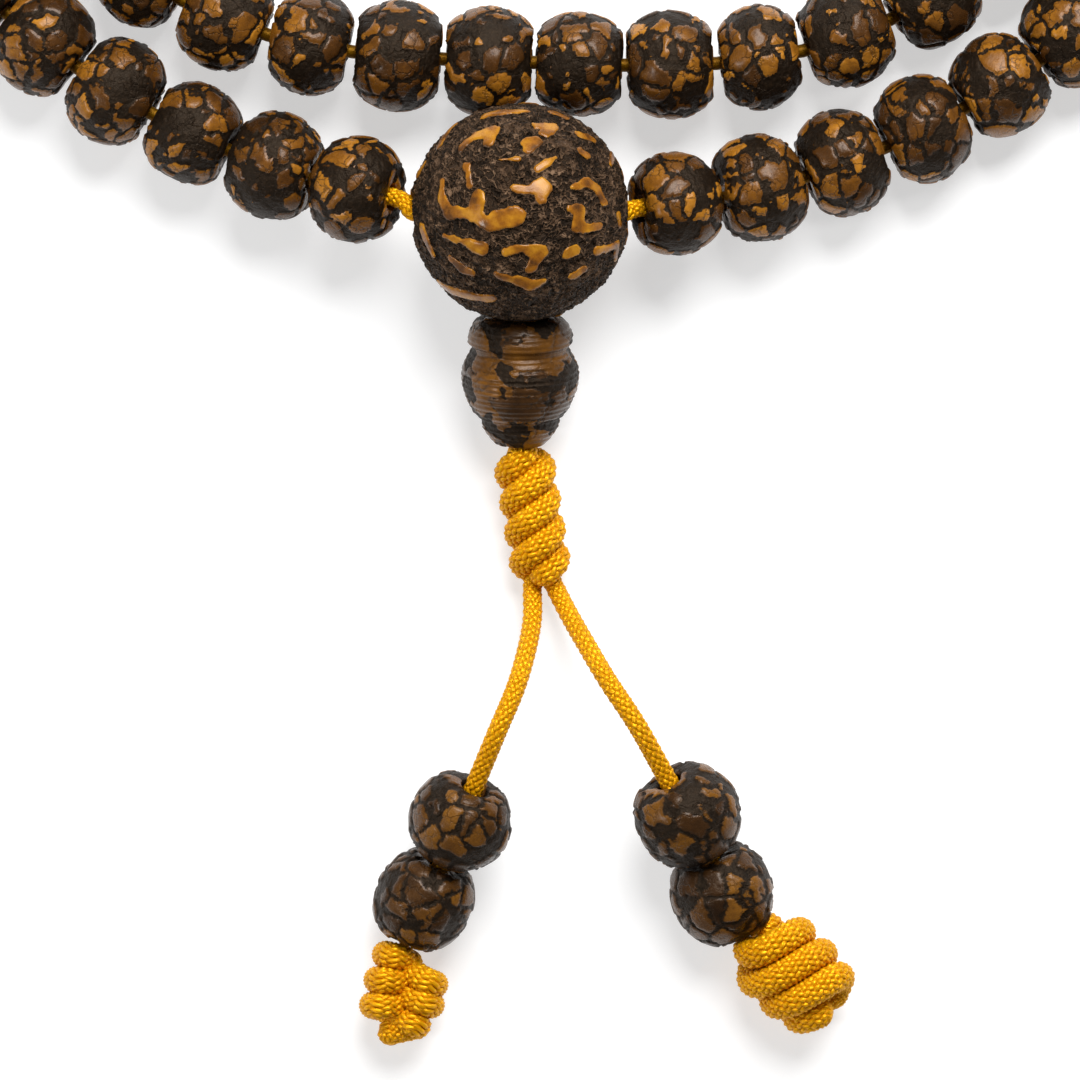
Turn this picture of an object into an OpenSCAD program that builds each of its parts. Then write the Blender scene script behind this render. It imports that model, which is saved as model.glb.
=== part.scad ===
// Mala of 108 seed beads wound twice into a ring, with a guru bead, a turned cap,
// a knotted pendant and two tails of counter beads. Millimetres, lying on z = 0, +Z up.

/* [Beads] */
// Number of beads on the strand, without the guru bead
bead_count = 108; // [104:1:108]
// Mean diameter of a strand bead
bead_d = 10; // [9.8:0.05:10]
// Most that a bead is thicker or thinner than the mean radius
bead_spread = 0.2; // [0:0.05:0.2]
// Mean distance from one bead to the next along the cord
bead_pitch = 8.35; // [8.33:0.01:8.35]
// Most that one pitch is longer or shorter than the mean
pitch_spread = 0.4; // [0.3:0.05:0.45]
// Diameter of the hole through a strand bead
bore_d = 2.4; // [2.2:0.1:2.6]
// Play between the flat ends of two beads
bead_play = 0.14; // [0.1:0.02:0.2]

/* [Guru bead and cap] */
// Diameter of the guru bead
guru_d = 20.2; // [20:0.1:20.4]
// Diameter of the guru bead's hole for the strand
port_d = 2.8; // [2.4:0.1:3]
// Diameter of the hole that takes both strands down through guru bead and cap
stem_bore_d = 4; // [4:0.1:4.4]
// Length of the turned cap
cap_len = 12.05; // [12:0.05:12.1]
// Belly diameter of the turned cap
cap_d = 10.9; // [10.5:0.1:11.1]

/* [Cord] */
// Diameter of the braided cord
cord_d = 1.8; // [1.6:0.1:1.9]
// Free cord between the guru bead and the first strand bead
first_gap = 0.6; // [0.6:0.05:0.9]

/* [Knots] */
// Width of the knot below the cap
knot_d = 5.2; // [4.8:0.1:5.4]
// Length of the left tail's end knot
left_knot_len = 9.2; // [8.6:0.1:9.3]
// Width of the left tail's end knot
left_knot_d = 8; // [7.6:0.1:8.1]
// Length of the right tail's end knot
right_knot_len = 9.4; // [8.8:0.1:9.5]
// Width of the right tail's end knot
right_knot_d = 9; // [8.4:0.1:9]

/* [Ring] */
// Radius of the outer turn of the strand
outer_r = 77; // [77:0.1:77.2]
// Radius of the inner turn of the strand
inner_r = 66.6; // [66.4:0.1:66.6]
// How much deeper the ring is behind its middle than in front of it
back_stretch = 1.05; // [1.03:0.01:1.06]

/* [Hidden] */
$fn = 48;
ring_y = 35.7;            // middle of the ring
guru_x = -3;              // guru bead, in front of the ring's middle
guru_y = -41.3;
guru_r = guru_d / 2;
guru_z = guru_r;
rest_z = bead_d / 2 + bead_spread;   // height of the strand lying on the table
cord_r = cord_d / 2;

// The two turns: each changes from one radius to the other at the back, where one hops over the other.
change_half = 27;         // degrees taken to change turn, either side of the back
hop_h = 11.4;             // rise of the upper strand at the crossing
hop_half = 33;            // degrees over which it rises, either side of the crossing
dent = 3.7;               // the inner turn bends round the guru bead
dent_at = 358;
dent_half = 31;
rise_run = 22;            // length of strand that comes down from the guru bead's port
port_x = 9.9;             // where the cord leaves the guru bead
cord_ends = 0.6;          // the two ends of the cord meet this far from the guru bead's middle

// Pendant: the axis through guru bead and cap slopes down, and the knot lies almost level.
pendant_slope = 16;
cap_gap = 0.15;                       // between guru bead and cap
cap_dish = 0.5;                       // how far the cap's hollow top reaches round the guru bead
stem_from = 2.4;                      // the stem's two strands start this far from the guru bead's middle
knot_top = [0.05, -21.4, 3.87];        // from the guru bead's middle in plan, height over the table
knot_bottom = [2.1, -33.4, 2.7];
knot_bands = 5;
knot_waist = 0.8;                     // depth of the hollow between two bands

// Tails, from the guru bead's middle in plan and the height over the table. The last three points
// stand at the mouth of the upper counter, between the two counters, and below the lower one.
left_tail = [
    [1.1, -34.2, 2.4], [1.1, -37.0, 3.9], [0.6, -39.8, 7.2], [-0.4, -43.2, 10.3],
    [-2.0, -47.0, 11.3], [-4.1, -52.1, 9.2], [-6.9, -58.9, 6.3], [-10.8, -66.8, 3.4]
];
right_tail = [
    [3.1, -34.0, 2.4], [4.5, -36.7, 3.9], [6.0, -39.3, 7.2], [7.9, -42.5, 10.3],
    [10.6, -46.6, 11.3], [13.4, -51.6, 9.2], [17.2, -58.4, 6.3], [20.0, -66.2, 3.4]
];
counter_d = [9.6, 9.2, 9.8, 9.6];     // left upper and lower, right upper and lower
counter_play = 0.25;                  // between two counters, and between a counter and its knot
left_knot = [-10.8, -71.9, 4.1];
left_knot_turn = 10;
right_knot = [25.0, -69.55, 4.5];
right_knot_turn = -46;

// Outlines from the upper end, as [distance along, radius] over the full length and radius
cap_outline = [
    [0, 0.62], [0.02, 0.72], [0.05, 0.79], [0.09, 0.84], [0.14, 0.885], [0.18, 0.905], [0.20, 0.90],
    [0.215, 0.87], [0.23, 0.84], [0.262, 0.84], [0.30, 0.875], [0.347, 0.935], [0.395, 0.98], [0.451, 1],
    [0.527, 0.99], [0.603, 0.95], [0.678, 0.89], [0.745, 0.81], [0.782, 0.75], [0.797, 0.69],
    [0.868, 0.65], [0.924, 0.57], [0.972, 0.49], [1, 0.42]
];

function eased(u) = let (v = min(max(u, 0), 1)) v * v * (3 - 2 * v);
function swell(u) = abs(u) < 1 ? pow(cos(90 * u), 2) : 0;
function varied(k, salt) = ((k * 37 + salt * 53 + k * k * 11) % 101) / 100;
function unit(v) = v / norm(v);

// The strand's path by the angle around the ring, 0 at the front, through two turns to 720.
function turn_r(a) =
    outer_r
    - (outer_r - inner_r) * (eased((a - 180 + change_half) / (2 * change_half))
                             - eased((a - 540 + change_half) / (2 * change_half)))
    - dent * swell((a - dent_at) / dent_half);
first_angle = asin((guru_x + port_x) / outer_r);
last_angle = 720 + asin((guru_x - port_x) / outer_r);
function port_rise(a) =
    (guru_z - rest_z)
    * pow(max(0, 1 - min(a - first_angle, last_angle - a) * outer_r * PI / 180 / rise_run), 2);
function strand_at(a) = [
    turn_r(a) * sin(a),
    ring_y - turn_r(a) * cos(a) * (cos(a) < 0 ? back_stretch : 1),
    rest_z + port_rise(a) + hop_h * swell((a - 540) / hop_half)
];

// The same path by length, and the places between the beads along it
path_steps = 360;
path_angles = [for (i = [0 : path_steps]) first_angle + (last_angle - first_angle) * i / path_steps];
path_points = [for (a = path_angles) strand_at(a)];
angle_by_length = [
    for (i = 0, s = 0; i <= path_steps;
         i = i + 1, s = i > path_steps ? s : s + norm(path_points[i] - path_points[i - 1]))
        [s, path_angles[i]]
];
function pitch_of(k) = bead_pitch + pitch_spread * (2 * varied(k, 2) - 1);
gap_lengths = [for (k = 0, s = first_gap; k <= bead_count; k = k + 1, s = s + pitch_of(k)) s];
gaps = [for (s = gap_lengths) strand_at(lookup(s, angle_by_length))];

// Bead k sits between gap k - 1 and gap k, with its axis along the cord.
function run(k) = gaps[k] - gaps[k - 1];
function bead_mid(k) = (gaps[k] + gaps[k - 1]) / 2;
function bead_r(k) = bead_d / 2 + bead_spread * (2 * varied(k, 1) - 1);
function bend(k) = k < 1 || k >= bead_count ? 0 : acos(min(1, unit(run(k)) * unit(run(k + 1))));
function end_r(k) = sqrt(pow(bead_r(k), 2) - pow(norm(run(k)) * 0.45, 2));
function bead_len(k) =
    norm(run(k)) - bead_play - 2 * max(end_r(k), bead_d * 0.3) * tan(max(bend(k - 1), bend(k)) / 2);

guru = [guru_x, guru_y, guru_z];
function on_pendant(p) = [guru_x + p[0], guru_y + p[1], p[2]];
pendant_dir = [0, -cos(pendant_slope), -sin(pendant_slope)];

// Sets its children's +Z along dir, at a point.
module along(dir, at) {
    translate(at) rotate([0, acos(dir[2] / norm(dir)), atan2(dir[1], dir[0])]) children();
}

module bead(r, len, bore) {
    rotate_extrude() intersection() {
        circle(r);
        translate([bore / 2, -len / 2]) square([r, len]);
    }
}

module strand_bead(k) {
    color("saddlebrown") along(run(k), bead_mid(k)) bead(bead_r(k), bead_len(k), bore_d);
}

module bead_run(first, last) {
    for (k = [first : last]) strand_bead(k);
}

// A tube along points, as one closed polyhedron.
module tube(points, r, sides = 8) {
    n = len(points);
    dirs = [for (i = [0 : n - 1]) unit(unit(points[min(i + 1, n - 1)] - points[max(i, 1) - 1])
                                       + unit(points[max(i, 1)] - points[max(i, 1) - 1]))];
    rings = [for (i = [0 : n - 1])
        let (side = unit(cross(dirs[i], [0, 0, 1])), up = cross(side, dirs[i]))
            for (j = [0 : sides - 1])
                points[i] + r * (side * cos(360 * j / sides) + up * sin(360 * j / sides))];
    walls = [for (i = [0 : n - 2]) for (j = [0 : sides - 1])
        let (a = i * sides + j, b = i * sides + (j + 1) % sides)
            [a, a + sides, b + sides, b]];
    low_end = [for (j = [0 : sides - 1]) j];
    high_end = [for (j = [sides - 1 : -1 : 0]) (n - 1) * sides + j];
    polyhedron(rings, concat(walls, [low_end], [high_end]), convexity = 10);
}

module main_cord() {
    color("goldenrod") tube(concat(
        [guru + [cord_ends, 0, 0], guru + [port_x, 0, 0]],
        gaps,
        [guru - [port_x, 0, 0], guru - [cord_ends, 0, 0]]
    ), cord_r);
}

module guru_bead() {
    color("saddlebrown") difference() {
        translate(guru) sphere(guru_r);
        along([1, 0, 0], guru) cylinder(h = 3 * guru_r, d = port_d, center = true);
        along(pendant_dir, guru) cylinder(h = 2 * guru_r, d = stem_bore_d);
    }
}

module guru_cap() {
    points = [for (p = cap_outline) [p[1] * cap_d / 2, p[0] * cap_len]];
    inner = stem_bore_d / 2;
    color("sienna") difference() {
        along(pendant_dir, guru + pendant_dir * (guru_r - cap_dish))
            rotate_extrude() polygon(concat(points, [[inner, cap_len], [inner, 0]]));
        translate(guru) sphere(guru_r + cap_gap);
    }
}

module stem_cord() {
    spacing = cord_r + 0.05;
    for (side = [-1, 1])
        color("goldenrod") along(pendant_dir, guru + pendant_dir * stem_from + [side * spacing, 0, 0])
            cylinder(h = guru_r - cap_dish + cap_len - stem_from, r = cord_r);
}

// A knot of bands, wound round an axis from one point to another.
module wound_knot(from, to, d, bands, waist) {
    length = norm(to - from);
    steps = bands * 6;
    outline = [for (i = [0 : steps])
        [d / 2 - waist * pow(cos(180 * i * bands / steps), 2), length * i / steps]];
    color("goldenrod") along(to - from, from)
        rotate_extrude() polygon(concat([[0, 0]], outline, [[0, length]]));
}

module guru_knot() {
    wound_knot(on_pendant(knot_top), on_pendant(knot_bottom), knot_d, knot_bands, knot_waist);
}

module tail(points) {
    color("goldenrod") tube([for (p = points) on_pendant(p)], cord_r);
}

// A counter bead between two points of its tail
module counter(from, to, d) {
    color("saddlebrown") along(to - from, on_pendant((from + to) / 2))
        bead(d / 2, min(bead_pitch, norm(to - from)) - counter_play, bore_d);
}

// A lump of cord, long and wide, that ends a tail.
module end_knot(at, turn, long, wide) {
    steps = 12;
    outline = [for (i = [0 : steps]) let (a = 180 * i / steps)
        [wide / 2 * pow(sin(a), 0.7), -long / 2 * cos(a)]];
    color("goldenrod") along([-sin(turn), -cos(turn), 0], on_pendant(at))
        rotate_extrude() polygon(outline);
}

// Beads 1 to 6 and 103 to 108 stand beside the guru bead, and 50 to 60 behind it.
single_beads = [1, 2, 3, 4, 5, 6, 50, 51, 52, 53, 54, 55, 56, 57, 58, 59, 60, 103, 104, 105, 106, 107, 108];
run_starts = concat([for (k = [7 : 4 : 49]) k], [for (k = [61 : 4 : 102]) k]);
function run_end(k) = min(k + 3, k < 50 ? 49 : 102);
function digits(k) = str(k < 10 ? "00" : k < 100 ? "0" : "", k);
function bead_node(k) = str("bead_", digits(k));
function run_node(k) = str("beads_", digits(k), "_", digits(run_end(k)));

main_cord();
guru_bead();
guru_cap();
stem_cord();
guru_knot();
tail(left_tail);  // left_tail_cord
counter(left_tail[5], left_tail[6], counter_d[0]);  // left_upper_counter
counter(left_tail[6], left_tail[7], counter_d[1]);  // left_lower_counter
end_knot(left_knot, left_knot_turn, left_knot_len, left_knot_d);  // left_end_knot
tail(right_tail);  // right_tail_cord
counter(right_tail[5], right_tail[6], counter_d[2]);  // right_upper_counter
counter(right_tail[6], right_tail[7], counter_d[3]);  // right_lower_counter
end_knot(right_knot, right_knot_turn, right_knot_len, right_knot_d);  // right_end_knot
for (k = single_beads) strand_bead(k);
for (k = run_starts) bead_run(k, run_end(k));
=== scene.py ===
import math

import bpy
import numpy as np
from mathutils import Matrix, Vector, noise


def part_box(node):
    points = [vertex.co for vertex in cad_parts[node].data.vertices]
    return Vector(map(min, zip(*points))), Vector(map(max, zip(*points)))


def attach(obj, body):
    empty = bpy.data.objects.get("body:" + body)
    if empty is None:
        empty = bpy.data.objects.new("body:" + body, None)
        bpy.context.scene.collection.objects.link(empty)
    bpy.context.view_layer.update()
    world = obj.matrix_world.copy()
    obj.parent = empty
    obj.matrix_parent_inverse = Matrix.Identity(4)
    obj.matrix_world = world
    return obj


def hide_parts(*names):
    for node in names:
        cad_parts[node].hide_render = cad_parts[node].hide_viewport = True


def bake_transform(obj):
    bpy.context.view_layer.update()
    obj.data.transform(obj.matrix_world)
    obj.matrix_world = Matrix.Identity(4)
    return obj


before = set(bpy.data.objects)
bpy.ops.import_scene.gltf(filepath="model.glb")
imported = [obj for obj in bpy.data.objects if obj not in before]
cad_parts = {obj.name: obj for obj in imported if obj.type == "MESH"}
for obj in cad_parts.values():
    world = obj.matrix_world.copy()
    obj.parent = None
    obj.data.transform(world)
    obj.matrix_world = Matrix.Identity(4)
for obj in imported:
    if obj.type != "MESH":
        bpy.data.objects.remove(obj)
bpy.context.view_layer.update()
mm = 0.001  # everything below is in millimetres until it becomes a mesh
scene = bpy.context.scene

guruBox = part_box("guru_bead")
guruMid = np.array([(low + high) / 2 / mm for low, high in zip(*guruBox)])
guruPlan = np.array([guruMid[0], guruMid[1], 0.0])  # pendant points are counted from here
pendantSlope = math.radians(16)
pendantAxis = np.array([0.0, -math.cos(pendantSlope), -math.sin(pendantSlope)])

# camera
view = {"right": 1.8, "down": 29.8, "height": 455.0, "lens": 163.0, "far": 10}
cameraData = bpy.data.cameras.new("camera")
cameraData.lens = view["lens"]
cameraData.clip_end = view["far"]
camera = bpy.data.objects.new("camera", cameraData)
camera.location = ((guruPlan[0] + view["right"]) * mm, (guruPlan[1] - view["down"]) * mm, view["height"] * mm)
scene.collection.objects.link(camera)
scene.camera = camera


# one wrapper for node sockets, for shader trees and geometry trees alike
class Wire:
    def __init__(self, net, socket):
        self.net, self.socket = net, socket

    def __add__(self, other):
        return self.net.maths("ADD", self, other)

    def __radd__(self, other):
        return self.net.maths("ADD", other, self)

    def __sub__(self, other):
        return self.net.maths("SUBTRACT", self, other)

    def __rsub__(self, other):
        return self.net.maths("SUBTRACT", other, self)

    def __mul__(self, other):
        return self.net.maths("MULTIPLY", self, other)

    def __rmul__(self, other):
        return self.net.maths("MULTIPLY", other, self)

    def __truediv__(self, other):
        return self.net.maths("DIVIDE", self, other)


class Net:
    def __init__(self, tree):
        self.tree = tree

    def node(self, kind, settings=None, sockets=None, out=0):
        made = self.tree.nodes.new(kind)
        for name, value in (settings or {}).items():
            if name == "stops":
                while len(made.color_ramp.elements) < len(value):
                    made.color_ramp.elements.new(0.5)
                for element, (place, colour) in zip(made.color_ramp.elements, value):
                    element.position = place
                    element.color = (*colour, 1)
            else:
                setattr(made, name, value)
        for name, value in (sockets or {}).items():
            if isinstance(value, Wire):
                self.tree.links.new(value.socket, made.inputs[name])
            else:
                made.inputs[name].default_value = value
        return Wire(self, made.outputs[out])

    def maths(self, operation, first, second=0.0):
        return self.node("ShaderNodeMath", {"operation": operation}, {0: first, 1: second})

    def attribute(self, name, out="Fac"):
        return self.node("ShaderNodeAttribute", {"attribute_name": name}, out=out)

    def vectors(self, operation, first, second=(0, 0, 0), scale=1.0):
        sockets = {0: first, "Scale": scale} if operation == "SCALE" else {0: first, 1: second}
        return self.node("ShaderNodeVectorMath", {"operation": operation}, sockets)

    def noise(self, place, scale, detail=2.0, roughness=0.5, out="Fac"):
        found = self.node("ShaderNodeTexNoise", None, {"Vector": place, "Scale": scale, "Detail": detail,
                                                       "Roughness": roughness})
        return Wire(self, found.socket.node.outputs[out])

    def eased(self, value, low, high):
        return self.node("ShaderNodeMapRange", {"interpolation_type": "SMOOTHSTEP"},
                         {"Value": value, "From Min": low, "From Max": high})

    def mixed(self, share, first, second):
        return self.node("ShaderNodeMix", {"data_type": "RGBA"}, {0: share, 6: first, 7: second}, 2)

    def ramp(self, value, stops):
        return self.node("ShaderNodeValToRGB", {"stops": stops}, {0: value})


# routes
def unit(vector):
    return vector / np.linalg.norm(vector)


def eased(u):
    v = min(max(u, 0.0), 1.0)
    return v * v * (3 - 2 * v)


def swell(u):
    return math.cos(math.radians(90 * u)) ** 2 if abs(u) < 1 else 0.0


def varied(k, salt):
    return ((k * 37 + salt * 53 + k * k * 11) % 101) / 100


strand = {
    "beads": 108, "beadD": 10.0, "spread": 0.2, "pitch": 8.35, "pitchSpread": 0.4, "play": 0.14,
    "firstGap": 0.6, "outerR": 77.0, "innerR": 66.6, "backStretch": 1.05, "ringY": 35.7,
    "changeHalf": 27.0, "hopH": 11.4, "hopHalf": 33.0, "dent": 3.7, "dentAt": 358.0, "dentHalf": 31.0,
    "riseRun": 22.0, "portX": 9.9, "steps": 360,
}
restZ = strand["beadD"] / 2 + strand["spread"]
firstAngle = math.degrees(math.asin((guruMid[0] + strand["portX"]) / strand["outerR"]))
lastAngle = 720 + math.degrees(math.asin((guruMid[0] - strand["portX"]) / strand["outerR"]))


def strandAt(angle):
    s = strand
    half = s["changeHalf"]
    inward = eased((angle - 180 + half) / (2 * half)) - eased((angle - 540 + half) / (2 * half))
    r = s["outerR"] - (s["outerR"] - s["innerR"]) * inward - s["dent"] * swell((angle - s["dentAt"]) / s["dentHalf"])
    fromPort = math.radians(min(angle - firstAngle, lastAngle - angle)) * s["outerR"]
    rise = (guruMid[2] - restZ) * max(0.0, 1 - fromPort / s["riseRun"]) ** 2
    c, d = math.cos(math.radians(angle)), math.sin(math.radians(angle))
    return np.array([r * d, s["ringY"] - r * c * (s["backStretch"] if c < 0 else 1),
                     restZ + rise + s["hopH"] * swell((angle - 540) / s["hopHalf"])])


def beadPlaces():
    angles = np.linspace(firstAngle, lastAngle, strand["steps"] + 1)
    points = np.array([strandAt(a) for a in angles])
    lengths = np.concatenate([[0], np.cumsum(np.linalg.norm(np.diff(points, axis=0), axis=1))])
    along = [strand["firstGap"]]
    for k in range(strand["beads"]):
        along.append(along[-1] + strand["pitch"] + strand["pitchSpread"] * (2 * varied(k, 2) - 1))
    gaps = np.array([strandAt(a) for a in np.interp(along, lengths, angles)])
    runs = np.diff(gaps, axis=0)
    bends = [0.0] * (strand["beads"] + 1)
    for k in range(1, strand["beads"]):
        bends[k] = math.acos(min(1.0, unit(runs[k - 1]) @ unit(runs[k])))
    beads = {}
    for k in range(1, strand["beads"] + 1):
        long = np.linalg.norm(runs[k - 1])
        r = strand["beadD"] / 2 + strand["spread"] * (2 * varied(k, 1) - 1)
        endR = max(math.sqrt(r * r - (long * 0.45) ** 2), strand["beadD"] * 0.3)
        cut = strand["play"] + 2 * endR * math.tan(max(bends[k - 1], bends[k]) / 2)
        beads[k] = {"mid": (gaps[k] + gaps[k - 1]) / 2, "axis": unit(runs[k - 1]), "r": r, "half": (long - cut) / 2}
    return gaps, beads


gaps, beads = beadPlaces()
tailPoints = {
    "left": [(1.1, -34.2, 2.4), (1.1, -37.0, 3.9), (0.6, -39.8, 7.2), (-0.4, -43.2, 10.3),
             (-2.0, -47.0, 11.3), (-4.1, -52.1, 9.2), (-6.9, -58.9, 6.3), (-10.8, -66.8, 3.4)],
    "right": [(3.1, -34.0, 2.4), (4.5, -36.7, 3.9), (6.0, -39.3, 7.2), (7.9, -42.5, 10.3),
              (10.6, -46.6, 11.3), (13.4, -51.6, 9.2), (17.2, -58.4, 6.3), (20.0, -66.2, 3.4)],
}


def curved(points, step):      # points joined by a smooth curve, at even steps
    p = np.array([2 * points[0] - points[1], *points, 2 * points[-1] - points[-2]])
    fine = []
    for i in range(1, len(p) - 2):
        for t in np.linspace(0, 1, 24, endpoint=False):
            fine.append(0.5 * (2 * p[i] + (p[i + 1] - p[i - 1]) * t
                               + (2 * p[i - 1] - 5 * p[i] + 4 * p[i + 1] - p[i + 2]) * t ** 2
                               + (3 * p[i] - p[i - 1] - 3 * p[i + 1] + p[i + 2]) * t ** 3))
    fine = np.array([*fine, p[-2]])
    lengths = np.concatenate([[0], np.cumsum(np.linalg.norm(np.diff(fine, axis=0), axis=1))])
    even = np.linspace(0, lengths[-1], max(2, round(lengths[-1] / step) + 1))
    return np.column_stack([np.interp(even, lengths, fine[:, axis]) for axis in range(3)])


def routeLength(points):
    return float(np.linalg.norm(np.diff(points, axis=0), axis=1).sum())


# mesh helpers
def metres(point):
    return tuple(float(x) * mm for x in point)


def smooth(obj):
    obj.data.polygons.foreach_set("use_smooth", [True] * len(obj.data.polygons))


def meshObject(name, points, edges=(), faces=()):
    mesh = bpy.data.meshes.new(name)
    mesh.from_pydata([metres(p) for p in points], list(edges), list(faces))
    made = bpy.data.objects.new(name, mesh)
    scene.collection.objects.link(made)
    return made


def giveAttribute(obj, name, kind, values):
    attribute = obj.data.attributes.new(name, kind, "POINT")
    field = "vector" if kind == "FLOAT_VECTOR" else "value"
    attribute.data.foreach_set(field, np.array(values, dtype=np.float32).ravel())


def settled(obj, tree, values):     # obj as a plain mesh, after its tree
    modifier = obj.modifiers.new("build", "NODES")
    modifier.node_group = tree
    for item in tree.interface.items_tree:
        if item.item_type == "SOCKET" and item.in_out == "INPUT" and item.name in values:
            modifier[item.identifier] = values[item.name]
    bpy.context.view_layer.update()
    evaluated = obj.evaluated_get(bpy.context.evaluated_depsgraph_get())
    mesh = bpy.data.meshes.new_from_object(evaluated)
    obj.modifiers.clear()
    obj.data = mesh
    return obj


def newTree(name, inputs):
    tree = bpy.data.node_groups.new(name, "GeometryNodeTree")
    tree.interface.new_socket("Geometry", in_out="OUTPUT", socket_type="NodeSocketGeometry")
    tree.interface.new_socket("Geometry", in_out="INPUT", socket_type="NodeSocketGeometry")
    for label, kind in inputs.items():
        tree.interface.new_socket(label, in_out="INPUT", socket_type="NodeSocket" + kind)
    net = Net(tree)
    start = tree.nodes.new("NodeGroupInput")
    return net, {socket.name: Wire(net, socket) for socket in start.outputs if socket.name}


def closeTree(net, geometry, material):
    whole = net.node("GeometryNodeRealizeInstances", None, {"Geometry": geometry})
    painted = net.node("GeometryNodeSetMaterial", None, {"Geometry": whole, "Material": material})
    end = net.tree.nodes.new("NodeGroupOutput")
    net.tree.links.new(painted.socket, end.inputs[0])
    return net.tree


def attributeIn(net, name, kind="FLOAT"):
    return net.node("GeometryNodeInputNamedAttribute", {"data_type": kind}, {"Name": name})


def stored(net, geometry, name, kind, value):
    return net.node("GeometryNodeStoreNamedAttribute", {"data_type": kind, "domain": "POINT"},
                    {"Geometry": geometry, "Name": name, "Value": value})


# materials
def newMaterial(name):
    material = bpy.data.materials.new(name)
    material.use_nodes = True
    net = Net(material.node_tree)
    return material, net, material.node_tree.nodes["Principled BSDF"]


def feed(net, shader, **wires):
    for name, value in wires.items():
        label = {"colour": "Base Color", "rough": "Roughness", "coat": "Coat Weight", "normal": "Normal",
                 "coatRough": "Coat Roughness", "specular": "Specular IOR Level", "metallic": "Metallic",
                 "tint": "Specular Tint"}[name]
        if isinstance(value, Wire):
            net.tree.links.new(value.socket, shader.inputs[label])
        else:
            shader.inputs[label].default_value = value


seedLook = {
    "patch": [(0.2, (0.020, 0.008, 0.002)), (0.40, (0.066, 0.024, 0.004)), (0.58, (0.180, 0.066, 0.006)),
              (0.78, (0.41, 0.165, 0.014))],
    "channel": [(0.3, (0.003, 0.002, 0.001)), (0.55, (0.009, 0.005, 0.0025)), (0.8, (0.036, 0.020, 0.010))],
    "patchRough": 0.27, "channelRough": 0.48, "bump": 0.00012, "crack": 0.9, "crackDark": 0.6,
    "crackTone": (0.012, 0.007, 0.004, 1.0), "edge": (0.36, 0.66), "coat": 0.2, "coatRough": 0.24, "specular": 0.22,
    "tint": (1.0, 0.76, 0.56, 1.0),
}


def seedMaterial(name, look):
    material, net, shader = newMaterial(name)
    place = net.attribute("seedPlace", "Vector")
    relief = net.attribute("relief")
    tone = net.attribute("tone")
    fine = net.noise(place, 2.4, 4.0, 0.6)
    grain = net.noise(place, 11.0, 2.0, 0.6)
    broad = net.noise(place, 0.5, 2.0, 0.5)
    bent = net.vectors("ADD", place, net.vectors("SCALE", net.noise(place, 1.4, 3.0, 0.6, "Color"), scale=0.9))
    edge = net.node("ShaderNodeTexVoronoi", {"feature": "DISTANCE_TO_EDGE"},
                    {"Vector": bent, "Scale": look["crack"], "Randomness": 1.0}, "Distance")
    crack = (1 - net.eased(edge, 0.0, 0.07)) * net.eased(broad, 0.42, 0.6)
    patch = net.eased(relief + (fine - 0.5) * 0.6, *look["edge"])
    patchColour = net.ramp(tone * 0.42 + broad * 0.42 + fine * 0.22 - 0.02, look["patch"])
    patchColour = net.mixed(crack * look["crackDark"], patchColour, look["crackTone"])
    channelColour = net.ramp(fine * 0.7 + grain * 0.3, look["channel"])
    colour = net.mixed(patch, channelColour, patchColour)
    rough = look["channelRough"] + (look["patchRough"] - look["channelRough"]) * patch + (grain - 0.5) * 0.2
    height = fine * (1.7 - patch) + grain * 0.25 - crack * 0.8
    normal = net.node("ShaderNodeBump", None, {"Strength": 0.8, "Distance": look["bump"], "Height": height})
    feed(net, shader, colour=colour, rough=rough, normal=normal, coat=patch * look["coat"], coatRough=look["coatRough"],
         specular=look["specular"], tint=look["tint"])
    return material


guruLook = {
    "patch": [(0.22, (0.085, 0.032, 0.008)), (0.45, (0.25, 0.088, 0.007)), (0.75, (0.44, 0.190, 0.012))],
    "ground": [(0.12, (0.006, 0.0035, 0.002)), (0.30, (0.036, 0.020, 0.011)), (0.50, (0.112, 0.064, 0.036)),
               (0.85, (0.32, 0.200, 0.120))],
    "fibres": ((0.42, (1.0, 2.6, 1.2)), (0.52, (2.6, 1.0, 1.6)), (0.62, (1.4, 1.3, 2.6))), "fibreWide": 0.055,
    "bump": 0.0005, "coat": 0.2, "coatRough": 0.18, "specular": 0.25, "tint": (1.0, 0.76, 0.56, 1.0),
}


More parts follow.
